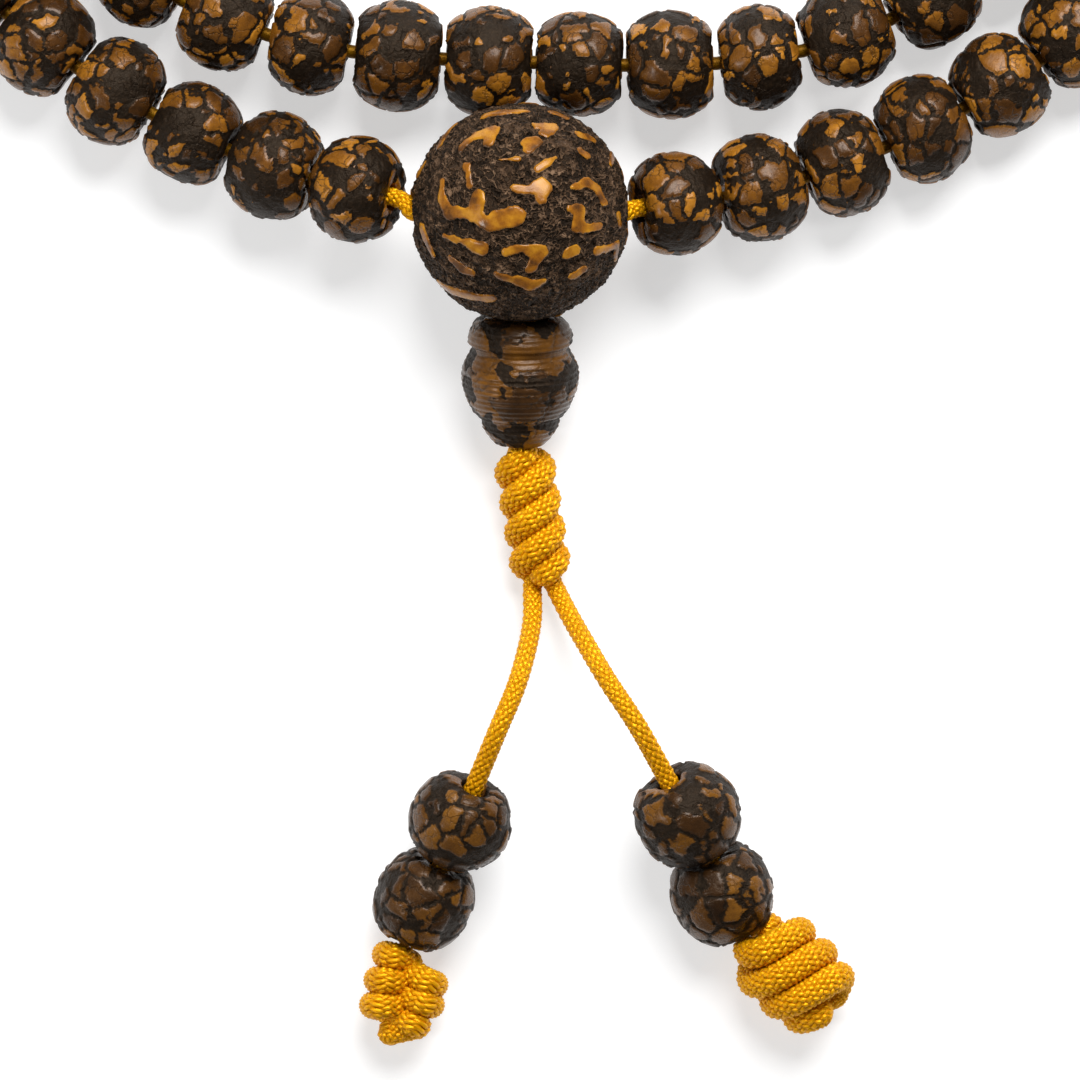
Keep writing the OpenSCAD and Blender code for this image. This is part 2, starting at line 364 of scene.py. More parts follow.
def guruMaterial():
    material, net, shader = newMaterial("guruShell")
    place = net.attribute("seedPlace", "Vector")
    relief = net.attribute("relief")
    grain = net.noise(place, 6.0, 3.0, 0.65)
    broad = net.noise(place, 0.45, 2.0)
    fibres = None
    for scale, stretch in guruLook["fibres"]:
        curl = net.vectors("ADD", place, net.vectors("SCALE", net.noise(place, 1.1, 2.0, 0.5, "Color"), scale=1.1))
        field = net.noise(net.vectors("MULTIPLY", curl, stretch), scale, 1.0, 0.5)
        offset = net.maths("ABSOLUTE", field - 0.5)
        line = 1 - net.eased(offset, 0.0, guruLook["fibreWide"])
        fibres = line if fibres is None else net.maths("MAXIMUM", fibres * 0.75, line)
    worn = net.eased(broad, 0.54, 0.66)
    patch = net.eased(relief + (grain - 0.5) * 0.12, 0.45, 0.7)
    blotch = net.noise(place, 0.7, 2.0)
    patchColour = net.ramp(blotch * 1.5 - 0.35 + grain * 0.2, guruLook["patch"])
    pits = net.eased(net.noise(place, 0.9, 3.0, 0.6), 0.5, 0.62)
    tangle = fibres * (1 - worn * 0.6) * 0.5 + grain * 0.26 + worn * 0.2 + 0.04 - pits * 0.16
    groundColour = net.ramp(tangle, guruLook["ground"])
    colour = net.mixed(patch, groundColour, patchColour)
    rough = 0.58 - 0.3 * patch + (grain - 0.5) * 0.12 - worn * 0.1
    height = (fibres * (1 - worn * 0.7) + grain * 0.3 - pits * 0.6) * (1 - patch) + grain * 0.04
    normal = net.node("ShaderNodeBump", None, {"Strength": 1.0, "Distance": guruLook["bump"], "Height": height})
    feed(net, shader, colour=colour, rough=rough, normal=normal, coat=patch * guruLook["coat"],
         coatRough=guruLook["coatRough"], specular=guruLook["specular"], tint=guruLook["tint"])
    return material


cordLook = {
    "yarn": [(0.2, (0.28, 0.085, 0.0005)), (0.5, (0.66, 0.270, 0.001)), (0.8, (0.90, 0.46, 0.006))],
    "rough": 0.28, "metallic": 0.4, "specular": 0.3, "tint": (1.0, 0.78, 0.35, 1.0), "filaments": 900.0,
    "bump": 0.00006, "coreShadeShare": 0.25, "coreRough": 0.4, "coreBump": 0.0001,
}


def braidMaterial():
    material, net, shader = newMaterial("goldBraid")
    ring = net.attribute("yarnRing", "Vector")
    along = net.attribute("yarnAlong")
    lift = net.attribute("yarnLift")
    place = net.vectors("ADD", net.vectors("SCALE", ring, scale=2.6),
                        net.node("ShaderNodeCombineXYZ", None, {"Z": along * cordLook["filaments"]}))
    filament = net.noise(place, 2.0, 3.0, 0.6)
    tone = net.noise(place, 0.5, 1.0)
    # lift paints light and shade into the weave: yarns are lighter where they pass over and darker where they dip under
    # (painted highlight and painted shade)
    colour = net.ramp(filament * 0.4 + tone * 0.25 + lift * 0.35, cordLook["yarn"])
    normal = net.node("ShaderNodeBump", None, {"Strength": 0.7, "Distance": cordLook["bump"], "Height": filament})
    feed(net, shader, colour=colour, rough=cordLook["rough"] + (filament - 0.5) * 0.2, normal=normal,
         specular=cordLook["specular"], metallic=cordLook["metallic"], tint=cordLook["tint"])
    return material


def coreMaterial():
    material, net, shader = newMaterial("shadedCore")
    place = net.node("ShaderNodeTexCoord", out="Object")
    weave = net.noise(net.vectors("SCALE", place, scale=1 / mm), 2.5, 3.0, 0.6)
    normal = net.node("ShaderNodeBump", None, {"Strength": 0.8, "Distance": cordLook["coreBump"], "Height": weave})
    # the cord between the beads is drawn at a quarter of the yarn colour: painted shade where the beads shadow it
    colour = net.vectors("SCALE", net.ramp(weave, cordLook["yarn"]), scale=cordLook["coreShadeShare"])
    feed(net, shader, colour=colour, rough=cordLook["coreRough"] + weave * 0.1, normal=normal,
         specular=cordLook["specular"], metallic=cordLook["metallic"], tint=cordLook["tint"])
    return material


counterLook = {
    **seedLook, "crackDark": 0.25, "edge": (0.2, 0.9),
    "patch": [(0.2, (0.014, 0.006, 0.002)), (0.40, (0.040, 0.016, 0.004)), (0.58, (0.088, 0.034, 0.005)),
              (0.80, (0.20, 0.080, 0.008))],
}
turnedLook = {
    **seedLook, "patchRough": 0.24, "channelRough": 0.5, "crack": 0.25,
    "patch": [(0.2, (0.018, 0.008, 0.003)), (0.40, (0.055, 0.022, 0.005)), (0.58, (0.130, 0.050, 0.006)),
              (0.80, (0.24, 0.095, 0.010))],
}
seedShell = seedMaterial("seedShell", seedLook)
counterShell = seedMaterial("counterShell", counterLook)
turnedShell = seedMaterial("turnedShell", turnedLook)
shadedCore = coreMaterial()
guruShell = guruMaterial()
goldBraid = braidMaterial()
print("materials ready")

# braided cord
cordR = 0.9
# lead is for a cord of radius cordR; middle, wave, wide, thick, core and coreEnd are shares of the radius
braid = {"lead": 6.5, "middle": 0.67, "wave": 0.085, "wide": 4.3, "thick": 0.21, "core": 0.66, "coreEnd": 0.8,
         "perCrossing": 3, "yarnSides": 6, "coreSides": 12, "knotYarns": 12}


def braidTree():
    # yarns wound both ways over and under one another round a core, with rounded ends
    net, given = newTree("braidCord", {"Cord Radius": "Float", "Lead": "Float", "Yarns Each Way": "Int",
                                       "Material": "Material"})
    radius, each = given["Cord Radius"], given["Yarns Each Way"]
    line = net.node("GeometryNodeMeshToCurve", None, {"Mesh": given["Geometry"]})
    line = net.node("GeometryNodeResampleCurve", {"mode": "LENGTH"},
                    {"Curve": line, "Length": given["Lead"] / (each * 2 * braid["perCrossing"])})
    length = net.node("GeometryNodeSplineParameter", out="Length")
    whole = net.node("GeometryNodeSplineLength")
    toEnd = net.maths("MINIMUM", length, whole - length) / radius
    inward = 1 - net.maths("MINIMUM", toEnd, 1.0)
    dome = net.maths("SQRT", 1 - inward * inward)
    line = stored(net, line, "yarnAlong", "FLOAT", length)
    line = stored(net, line, "dome", "FLOAT", dome)
    line = stored(net, line, "across", "FLOAT_VECTOR", net.node("GeometryNodeInputNormal"))
    line = stored(net, line, "ahead", "FLOAT_VECTOR", net.node("GeometryNodeInputTangent"))
    copies = net.node("GeometryNodeDuplicateElements", {"domain": "SPLINE"}, {"Geometry": line, "Amount": each * 2})
    index = Wire(net, copies.socket.node.outputs["Duplicate Index"])
    way = 1 - net.maths("MODULO", index, 2) * 2
    number = net.maths("FLOOR", index / 2)
    turn = attributeIn(net, "yarnAlong") / given["Lead"] * (2 * math.pi)
    angle = turn * way + number * (2 * math.pi) / each
    lift = way * net.maths("COSINE", turn * each)
    across = attributeIn(net, "across", "FLOAT_VECTOR")
    over = net.vectors("CROSS_PRODUCT", attributeIn(net, "ahead", "FLOAT_VECTOR"), across)
    outward = net.vectors("ADD", net.vectors("SCALE", across, scale=net.maths("COSINE", angle)),
                          net.vectors("SCALE", over, scale=net.maths("SINE", angle)))
    away = radius * (lift * braid["wave"] + braid["middle"]) * attributeIn(net, "dome")
    # the yarns' lift, kept for the shader, which paints a highlight on yarns that pass over and shade on yarns that dip
    # under
    copies = stored(net, copies, "yarnLift", "FLOAT", lift * 0.5 + 0.5)
    yarns = net.node("GeometryNodeSetPosition", None,
                     {"Geometry": copies, "Offset": net.vectors("SCALE", outward, scale=away)})
    yarns = net.node("GeometryNodeSetCurveNormal", {"mode": "FREE"}, {"Curve": yarns, "Normal": outward})
    ring = net.node("GeometryNodeCurvePrimitiveCircle", None, {"Resolution": braid["yarnSides"], "Radius": 1.0})
    ring = stored(net, ring, "yarnRing", "FLOAT_VECTOR", net.node("GeometryNodeInputPosition"))
    shape = net.node("ShaderNodeCombineXYZ", None,
                     {"X": radius * braid["thick"], "Y": radius * braid["wide"] / (each * 2), "Z": 1.0})
    oval = net.node("GeometryNodeTransform", None, {"Geometry": ring, "Scale": shape})
    wound = net.node("GeometryNodeCurveToMesh", None, {"Curve": yarns, "Profile Curve": oval, "Fill Caps": True})
    inner = net.node("GeometryNodeTrimCurve", {"mode": "LENGTH"}, {"Curve": line})
    # the trim lengths share their names with two other sockets, so they are found by identifier
    trims = [socket for socket in inner.socket.node.inputs if socket.identifier in ("Start_001", "End_001")]
    net.tree.links.new((radius * braid["coreEnd"]).socket, trims[0])
    net.tree.links.new((whole - radius * braid["coreEnd"]).socket, trims[1])
    circle = net.node("GeometryNodeCurvePrimitiveCircle", None,
                      {"Resolution": braid["coreSides"], "Radius": radius * braid["core"]})
    core = net.node("GeometryNodeCurveToMesh", None, {"Curve": inner, "Profile Curve": circle, "Fill Caps": True})
    joined = net.node("GeometryNodeJoinGeometry", None, {"Geometry": wound})
    net.tree.links.new(core.socket, joined.socket.node.inputs[0])
    return closeTree(net, joined, given["Material"])


braidCord = braidTree()


def braided(name, routes, radius, each=8):
    points, edges = [], []
    for route in routes:
        edges += [(len(points) + i, len(points) + i + 1) for i in range(len(route) - 1)]
        points += list(route)
    made = meshObject(name, points, edges)
    settled(made, braidCord, {"Cord Radius": radius * mm, "Lead": braid["lead"] * radius / cordR * mm,
                              "Yarns Each Way": each, "Material": goldBraid})
    smooth(made)
    return made


tailCord = {"radius": 0.97, "step": 0.5, "start": {"left": (1.3, -32.4, 2.9), "right": (2.2, -32.3, 2.9)}}
tails = {}
for side, points in tailPoints.items():
    route = curved([guruPlan + np.array(p) for p in [tailCord["start"][side], *points]], tailCord["step"])
    tails[side] = {"points": points, "route": route,
                   "piece": braided(side + "TailCord", [route], tailCord["radius"])}
    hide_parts(side + "_tail_cord")
print("tail cords", {side: round(routeLength(t["route"]), 1) for side, t in tails.items()})


# knots
def frameAlong(start, end):
    axis = unit(end - start)
    side = unit(np.cross(axis, [0.0, 0.0, 1.0]))
    return axis, side, np.cross(side, axis)


def finishKnot(name, node, body, routes, radius):
    piece = braided(name, routes, radius, braid["knotYarns"])
    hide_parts(node)
    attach(piece, body)
    return piece


winding = {"inset": 0.1, "easeRun": 2.2, "steps": 160, "coreSteps": 30}
guruKnot = {"top": (0.05, -21.0, 3.95), "bottom": (2.1, -33.8, 2.7), "lead": 5.6, "reach": 1.58, "radius": 1.42,
            "startTurn": 20, "handed": -1, "pull": 0.35}


def twisted(top, bottom, k):
    # two strands wound round one another, drawn together at their ends by pull
    axis, side, up = frameAlong(top, bottom)
    long = np.linalg.norm(bottom - top)
    inset, easeRun = winding["inset"], winding["easeRun"]
    routes = []
    for start in (0, 180):
        route = []
        for t in np.linspace(inset, long - inset, winding["steps"]):
            turn = k["handed"] * math.radians(k["startTurn"] + start + 360 * t / k["lead"])
            near = eased(min((t - inset) / easeRun, (long - inset - t) / easeRun))
            outward = side * math.cos(turn) + up * math.sin(turn)
            route.append(top + axis * t + outward * k["reach"] * (k["pull"] + (1 - k["pull"]) * near))
        routes.append(np.array(route))
    return routes


def makeGuruKnot():
    k = guruKnot
    routes = twisted(guruPlan + np.array(k["top"]), guruPlan + np.array(k["bottom"]), k)
    return finishKnot("guruKnot", "guru_knot", "pendant", routes, k["radius"])


# core is how far the straight core stays from the knot's two ends
endKnots = {
    "left": {"mid": (-10.8, -71.9, 4.1), "turn": 10, "long": 9.9, "reach": 2.65, "height": 1.8, "turns": 2.75,
             "radius": 1.36, "lean": 0.26, "narrow": 0.72, "narrowRun": 0.18, "steps": 260, "core": (0.6, 1.6)},
    "right": {"mid": (25.0, -69.55, 4.5), "turn": -46, "long": 10.4, "reach": 3.2, "lead": 5.6, "startTurn": 150,
              "radius": 1.46, "handed": 1, "pull": 0.3, "core": (0.6, 0.8)},
}


def knotEnds(k):
    mid = guruPlan + np.array(k["mid"])
    way = np.array([-math.sin(math.radians(k["turn"])), -math.cos(math.radians(k["turn"])), 0.0])
    return mid - way * k["long"] / 2, mid + way * k["long"] / 2


def knotCore(top, axis, k):
    near, far = k["core"]
    return np.array([top + axis * t for t in np.linspace(near, k["long"] - far, winding["coreSteps"])])


def makeLeftKnot():
    # one strand in a flat figure of eight; lean sets its first turns along the counter's end
    k = endKnots["left"]
    top, bottom = knotEnds(k)
    axis, side, up = frameAlong(top, bottom)
    route = []
    for t in np.linspace(0, 1, k["steps"]):
        turn = 2 * math.pi * k["turns"] * t
        full = k["narrow"] + (1 - k["narrow"]) * eased(min(t, 1 - t) / k["narrowRun"])
        across = side * k["reach"] * math.sin(turn) * full
        along = k["radius"] + t * (k["long"] - 2.9 * k["radius"]) + k["lean"] * across[0] * (1 - t) ** 2
        route.append(top + axis * along + across + up * k["height"] * math.sin(2 * turn) * full)
    route = [*route[:-4], bottom + side * 0.6 - axis * 1.6, bottom + side * 0.3 - axis * 0.4]
    return finishKnot("leftEndKnot", "left_end_knot", "left_tail", [np.array(route), knotCore(top, axis, k)],
                      k["radius"])


def makeRightKnot():
    k = endKnots["right"]
    top, bottom = knotEnds(k)
    routes = [*twisted(top, bottom, k), knotCore(top, unit(bottom - top), k)]
    return finishKnot("rightEndKnot", "right_end_knot", "right_tail", routes, k["radius"])


makeGuruKnot()
makeLeftKnot()
makeRightKnot()


stem = {"from": 2.4, "long": 19.25, "apart": 0.05, "steps": 40}


def makeStem():
    spacing = cordR + stem["apart"]
    routes = []
    for side in (-1, 1):
        start = guruMid + pendantAxis * stem["from"] + np.array([side * spacing, 0, 0])
        routes.append(np.array([start + pendantAxis * t for t in np.linspace(0, stem["long"], stem["steps"])]))
    piece = braided("stemCord", routes, cordR)
    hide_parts("stem_cord")
    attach(piece, "pendant")


makeStem()


def tubeFaces(count, sides):
    faces = [[i * sides + j, i * sides + (j + 1) % sides, (i + 1) * sides + (j + 1) % sides, (i + 1) * sides + j]
             for i in range(count - 1) for j in range(sides)]
    return faces + [list(range(sides))[::-1], [(count - 1) * sides + j for j in range(sides)]]


mainCord = {"radius": 0.62, "sides": 12, "ends": 0.6, "sleeveFrom": 0.7, "sleeveMouth": 0.98, "sleeveStep": 0.3}


def makeMainCord():
    ends, sides, radius = mainCord["ends"], mainCord["sides"], mainCord["radius"]
    port = np.array([strand["portX"], 0, 0])
    route = [guruMid + [ends, 0, 0], guruMid + port, *gaps, guruMid - port, guruMid - [ends, 0, 0]]
    points = []
    for i, point in enumerate(route):
        ahead = unit(route[min(i + 1, len(route) - 1)] - route[max(i - 1, 0)])
        side = unit(np.cross(ahead, [0, 0, 1]))
        up = np.cross(side, ahead)
        points += [point + radius * (side * math.cos(2 * math.pi * j / sides) + up * math.sin(2 * math.pi * j / sides))
                   for j in range(sides)]
    piece = meshObject("mainCord", points, faces=tubeFaces(len(route), sides))
    smooth(piece)
    # painted shade: the main cord gets a darkened copy of the yarn colour
    piece.data.materials.append(shadedCore)
    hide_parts("main_cord")
    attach(piece, "strand")
    for name, inner, outer, way in (("portCordLeft", gaps[-1], gaps[-2], -1), ("portCordRight", gaps[0], gaps[1], 1)):
        start, mouth = (guruMid + port * way * mainCord[share] for share in ("sleeveFrom", "sleeveMouth"))
        sleeve = braided(name, [curved([start, mouth, inner, outer], mainCord["sleeveStep"])], cordR)
        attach(sleeve, "strand")


makeMainCord()
print("cords and knots ready")

# seed beads
seed = {"cell": 0.44, "depth": 0.17, "lump": 0.6, "warp": 1.7, "edgeLow": 0.03, "edgeHigh": 0.12, "bare": 0.34,
        "ragged": 0.12, "bore": 1.2, "stretch": (1.0, 1.0, 1.0)}
pitDepth = 0.12


def addRelief(net, geometry, place, depth, look):
    # moves the surface in where the patches end, and stores relief, tone and seedPlace
    shift = net.vectors("SUBTRACT", net.noise(place, 0.55, 3.0, 0.6, "Color"), (0.5, 0.5, 0.5))
    bent = net.vectors("MULTIPLY", net.vectors("ADD", place, net.vectors("SCALE", shift, scale=look["warp"])),
                       look["stretch"])
    cells = {"Vector": bent, "Scale": look["cell"], "Randomness": 1.0}
    edge = net.node("ShaderNodeTexVoronoi", {"feature": "DISTANCE_TO_EDGE"}, cells, "Distance")
    cellColour = net.node("ShaderNodeTexVoronoi", {"feature": "F1"}, cells, "Color")
    tone = net.node("ShaderNodeSeparateXYZ", None, {"Vector": cellColour})
    bare = net.eased(net.noise(place, 0.36, 2.0), 0.46, 0.72) * look["bare"]
    ragged = (net.noise(place, 1.5, 2.0, 0.5) - 0.5) * look["ragged"]
    relief = net.eased(edge + ragged - bare, look["edgeLow"], look["edgeHigh"])
    lump = (net.noise(place, 0.24, 2.0) - 0.5) * look["lump"]
    pits = (net.noise(place, 2.2, 2.0) - 0.5) * pitDepth * (1.15 - relief)
    height = ((relief - 1) * depth + lump + pits) * mm
    geometry = stored(net, geometry, "relief", "FLOAT", relief)
    geometry = stored(net, geometry, "tone", "FLOAT", tone)
    geometry = stored(net, geometry, "seedPlace", "FLOAT_VECTOR", place)
    offset = net.vectors("SCALE", net.node("GeometryNodeInputNormal"), scale=height)
    return net.node("GeometryNodeSetPosition", None, {"Geometry": geometry, "Offset": offset})


def seedStringTree():
    net, given = newTree("seedString", {"Blank": "Object", "Depth": "Float", "Material": "Material"})
    blank = net.node("GeometryNodeObjectInfo", None, {"Object": given["Blank"]}, "Geometry")
    turn = net.node("FunctionNodeAlignRotationToVector", {"axis": "Z"},
                    {"Vector": attributeIn(net, "beadAxis", "FLOAT_VECTOR")})
    string = net.node("GeometryNodeInstanceOnPoints", None,
                      {"Points": given["Geometry"], "Instance": blank, "Rotation": turn,
                       "Scale": attributeIn(net, "beadSize", "FLOAT_VECTOR")})
    whole = net.node("GeometryNodeRealizeInstances", None, {"Geometry": string})
    middle, shift = (attributeIn(net, name, "FLOAT_VECTOR") for name in ("beadMid", "beadSeed"))
    centred = net.vectors("SUBTRACT", net.node("GeometryNodeInputPosition"), middle)
    place = net.vectors("ADD", net.vectors("SCALE", centred, scale=1 / mm), shift)
    whole = stored(net, whole, "seedPlace", "FLOAT_VECTOR", place)
    shaped = addRelief(net, whole, attributeIn(net, "seedPlace", "FLOAT_VECTOR"), given["Depth"], seed)
    return closeTree(net, shaped, given["Material"])


def lathe(name, outline, sides):
    # a closed turned mesh round Z, from an outline of (radius, height), up inside and down outside
    points = [(r * math.cos(2 * math.pi * j / sides), r * math.sin(2 * math.pi * j / sides), z)
              for r, z in outline for j in range(sides)]
    count = len(outline)
    faces = [[i * sides + j, ((i + 1) % count) * sides + j, ((i + 1) % count) * sides + (j + 1) % sides,
              i * sides + (j + 1) % sides] for i in range(count) for j in range(sides)]
    return meshObject(name, points, faces=faces)


# ratio is half length over radius; the bead is drawn in from cornerFrom on, and its ends a little more
blankShape = {"ratio": 0.78, "cornerFrom": 0.75, "cornerIn": 0.035, "endIn": 0.012}


def beadBlank(name, rings, sides):
    # a bead of radius 1 and half length 1, with its hole
    ratio = blankShape["ratio"]
    hole = seed["bore"] / 5
    outline = [(hole, z) for z in np.linspace(-0.9, 0.9, 4)]
    outline += [(hole * 1.12, 0.965), (hole * 1.35, 0.99)]
    flat = math.sqrt(1 - ratio * ratio)
    outline += [(r, 0.995) for r in np.linspace(hole * 1.7, flat * 0.8, max(3, rings // 10))]
    corner = math.asin(ratio)
    for a in np.linspace(corner, -corner, rings):
        share = abs(a) / corner
        drawn = max(0.0, (share - blankShape["cornerFrom"]) / (1 - blankShape["cornerFrom"])) ** 2
        outline.append((math.cos(a) * (1 - blankShape["cornerIn"] * drawn),
                        math.sin(a) / ratio * (1 - blankShape["endIn"] * share ** 8)))
    outline += [(r, -0.995) for r in np.linspace(flat * 0.8, hole * 1.7, max(3, rings // 10))]
    outline += [(hole * 1.35, -0.99), (hole * 1.12, -0.965)]
    made = lathe(name, [(r / mm, z / mm) for r, z in outline], sides)
    smooth(made)
    return made


seedString = seedStringTree()
fineBlank = beadBlank("fineBlank", 62, 124)
plainBlank = beadBlank("plainBlank", 30, 62)


def seedPiece(name, places, blank, material=seedShell):
    made = meshObject(name, [p["mid"] for p in places])
    giveAttribute(made, "beadAxis", "FLOAT_VECTOR", [p["axis"] for p in places])
    giveAttribute(made, "beadSize", "FLOAT_VECTOR", [(p["r"] * mm, p["r"] * mm, p["half"] * mm) for p in places])
    giveAttribute(made, "beadMid", "FLOAT_VECTOR", [p["mid"] * mm for p in places])
    giveAttribute(made, "beadSeed", "FLOAT_VECTOR",
                  [(p["number"] * 23.7, p["number"] * 11.3, p["number"] * 5.9) for p in places])
    return settled(made, seedString, {"Blank": blank, "Depth": seed["depth"], "Material": material})


def makeStrand():
    for node in [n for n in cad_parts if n.startswith("bead")]:
        numbers = [int(part) for part in node.split("_")[1:]]
        group = range(numbers[0], numbers[-1] + 1)
        single = len(numbers) == 1
        piece = seedPiece("strand" + "_".join([""] + [str(n) for n in numbers]),
                          [{**beads[k], "number": k} for k in group], fineBlank if single else plainBlank)
        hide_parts(node)
        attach(piece, "strand_bead_%03d" % numbers[0] if single else "strand")


makeStrand()
print("strand ready")

# widths of the upper and the lower counter, and the numbers that set their patterns
counters = {"left": (9.6, 9.2), "right": (9.8, 9.6), "play": 0.25, "fromPoint": 5,
            "pattern": {"left": 131, "right": 138}}


def makeCounters():
    for side, points in tailPoints.items():
        for number, place in enumerate(("upper", "lower")):
            first = counters["fromPoint"] + number
            start, end = guruPlan + np.array(points[first]), guruPlan + np.array(points[first + 1])
            long = min(strand["pitch"], np.linalg.norm(end - start)) - counters["play"]
            spec = {"mid": (start + end) / 2, "axis": unit(end - start), "r": counters[side][number] / 2,
                    "half": long / 2, "number": counters["pattern"][side] + number}
            piece = seedPiece(side + place.capitalize() + "Counter", [spec], fineBlank, counterShell)
            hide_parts(f"{side}_{place}_counter")
            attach(piece, f"{side}_{place}_bead")


makeCounters()

# turned cap
seatR = 9.9     # radius of the smooth seat the cap presses against
cap = {"long": 12.05, "wide": 10.9, "from": 9.6, "gap": 0.04, "bore": 2.0, "grooves": 0.09, "grooveRate": 150,
       "grooveSwell": 37, "rings": 150, "sides": 190, "pattern": (40.0, 7.0, 3.0), "depth": 0.1,
       "relief": {"cell": 0.30, "lump": 0.15, "warp": 2.4, "edgeLow": -0.03, "edgeHigh": 0.04, "bare": 0.75,
                  "ragged": 0.10, "stretch": (0.6, 1.2, 0.8)}}
# share of the length and share of the half width, from collar to foot
capOutline = [
    (0, 0.62), (0.02, 0.72), (0.05, 0.79), (0.09, 0.84), (0.14, 0.885), (0.18, 0.905), (0.20, 0.90), (0.215, 0.87),
    (0.23, 0.84), (0.262, 0.84), (0.30, 0.875), (0.347, 0.935), (0.395, 0.98), (0.451, 1), (0.527, 0.99),
    (0.603, 0.95), (0.678, 0.89), (0.745, 0.81), (0.782, 0.75), (0.797, 0.69), (0.868, 0.65), (0.924, 0.57),
    (0.972, 0.49), (1, 0.42),
]


def capTree():
    net, given = newTree("capRelief", {"Middle": "Vector", "Seed": "Vector", "Depth": "Float", "Material": "Material"})
    centred = net.vectors("SUBTRACT", net.node("GeometryNodeInputPosition"), given["Middle"])
    place = net.vectors("ADD", net.vectors("SCALE", centred, scale=1 / mm), given["Seed"])
    whole = stored(net, given["Geometry"], "seedPlace", "FLOAT_VECTOR", place)
    shaped = addRelief(net, whole, attributeIn(net, "seedPlace", "FLOAT_VECTOR"), given["Depth"], cap["relief"])
    return closeTree(net, shaped, given["Material"])


def makeCap():
    top = guruMid + pendantAxis * cap["from"]
    places, radii = zip(*capOutline)
    dish = seatR + cap["gap"]
    outline = [(cap["bore"], z) for z in np.linspace(cap["long"] - 0.3, 1.0, 8)]
    outline += [(r, max(0.0, math.sqrt(dish ** 2 - r * r) - cap["from"]))
                for r in np.linspace(cap["bore"] + 0.2, radii[0] * cap["wide"] / 2 - 0.1, 8)]
    for t in np.linspace(0, 1, cap["rings"]):
        r = np.interp(t, places, radii) * cap["wide"] / 2
        groove = cap["grooves"] * (0.5 + 0.5 * math.sin(t * cap["grooveRate"]))
        groove *= 0.4 + 0.6 * math.sin(t * cap["grooveSwell"] + 1) ** 2
        outline.append((r - groove, t * cap["long"]))
    outline += [(r, cap["long"]) for r in np.linspace(radii[-1] * cap["wide"] / 2 - 0.12, cap["bore"] + 0.12, 3)]
    piece = lathe("guruCap", outline, cap["sides"])
    axis, side, up = frameAlong(top, top + pendantAxis)
    local = np.empty(len(piece.data.vertices) * 3)
    piece.data.vertices.foreach_get("co", local)
    local = local.reshape(-1, 3) / mm
    placed = top + np.outer(local[:, 2], axis) + np.outer(local[:, 0], side) + np.outer(local[:, 1], up)
    piece.data.vertices.foreach_set("co", (placed * mm).ravel())
    smooth(piece)
    settled(piece, capTree(), {"Middle": metres(top + pendantAxis * cap["long"] / 2), "Seed": cap["pattern"],
                               "Depth": cap["depth"], "Material": turnedShell})
    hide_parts("guru_cap")
    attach(piece, "cap")


makeCap()
print("cap ready")

# guru bead
guru = {"r": 10.15, "ground": 0.27, "edge": 0.3, "grid": 118, "port": 1.35, "stem": 2.0, "seat": 3.3, "hidden": 40,
        "wider": 0.1, "uneven": 0.22, "drawSeed": 11, "widths": (0.3, 0.75), "chainStep": 0.13, "holeDeep": 3.5,
        "rimWide": 0.8, "rimDrop": 0.35, "seatRun": 0.9}
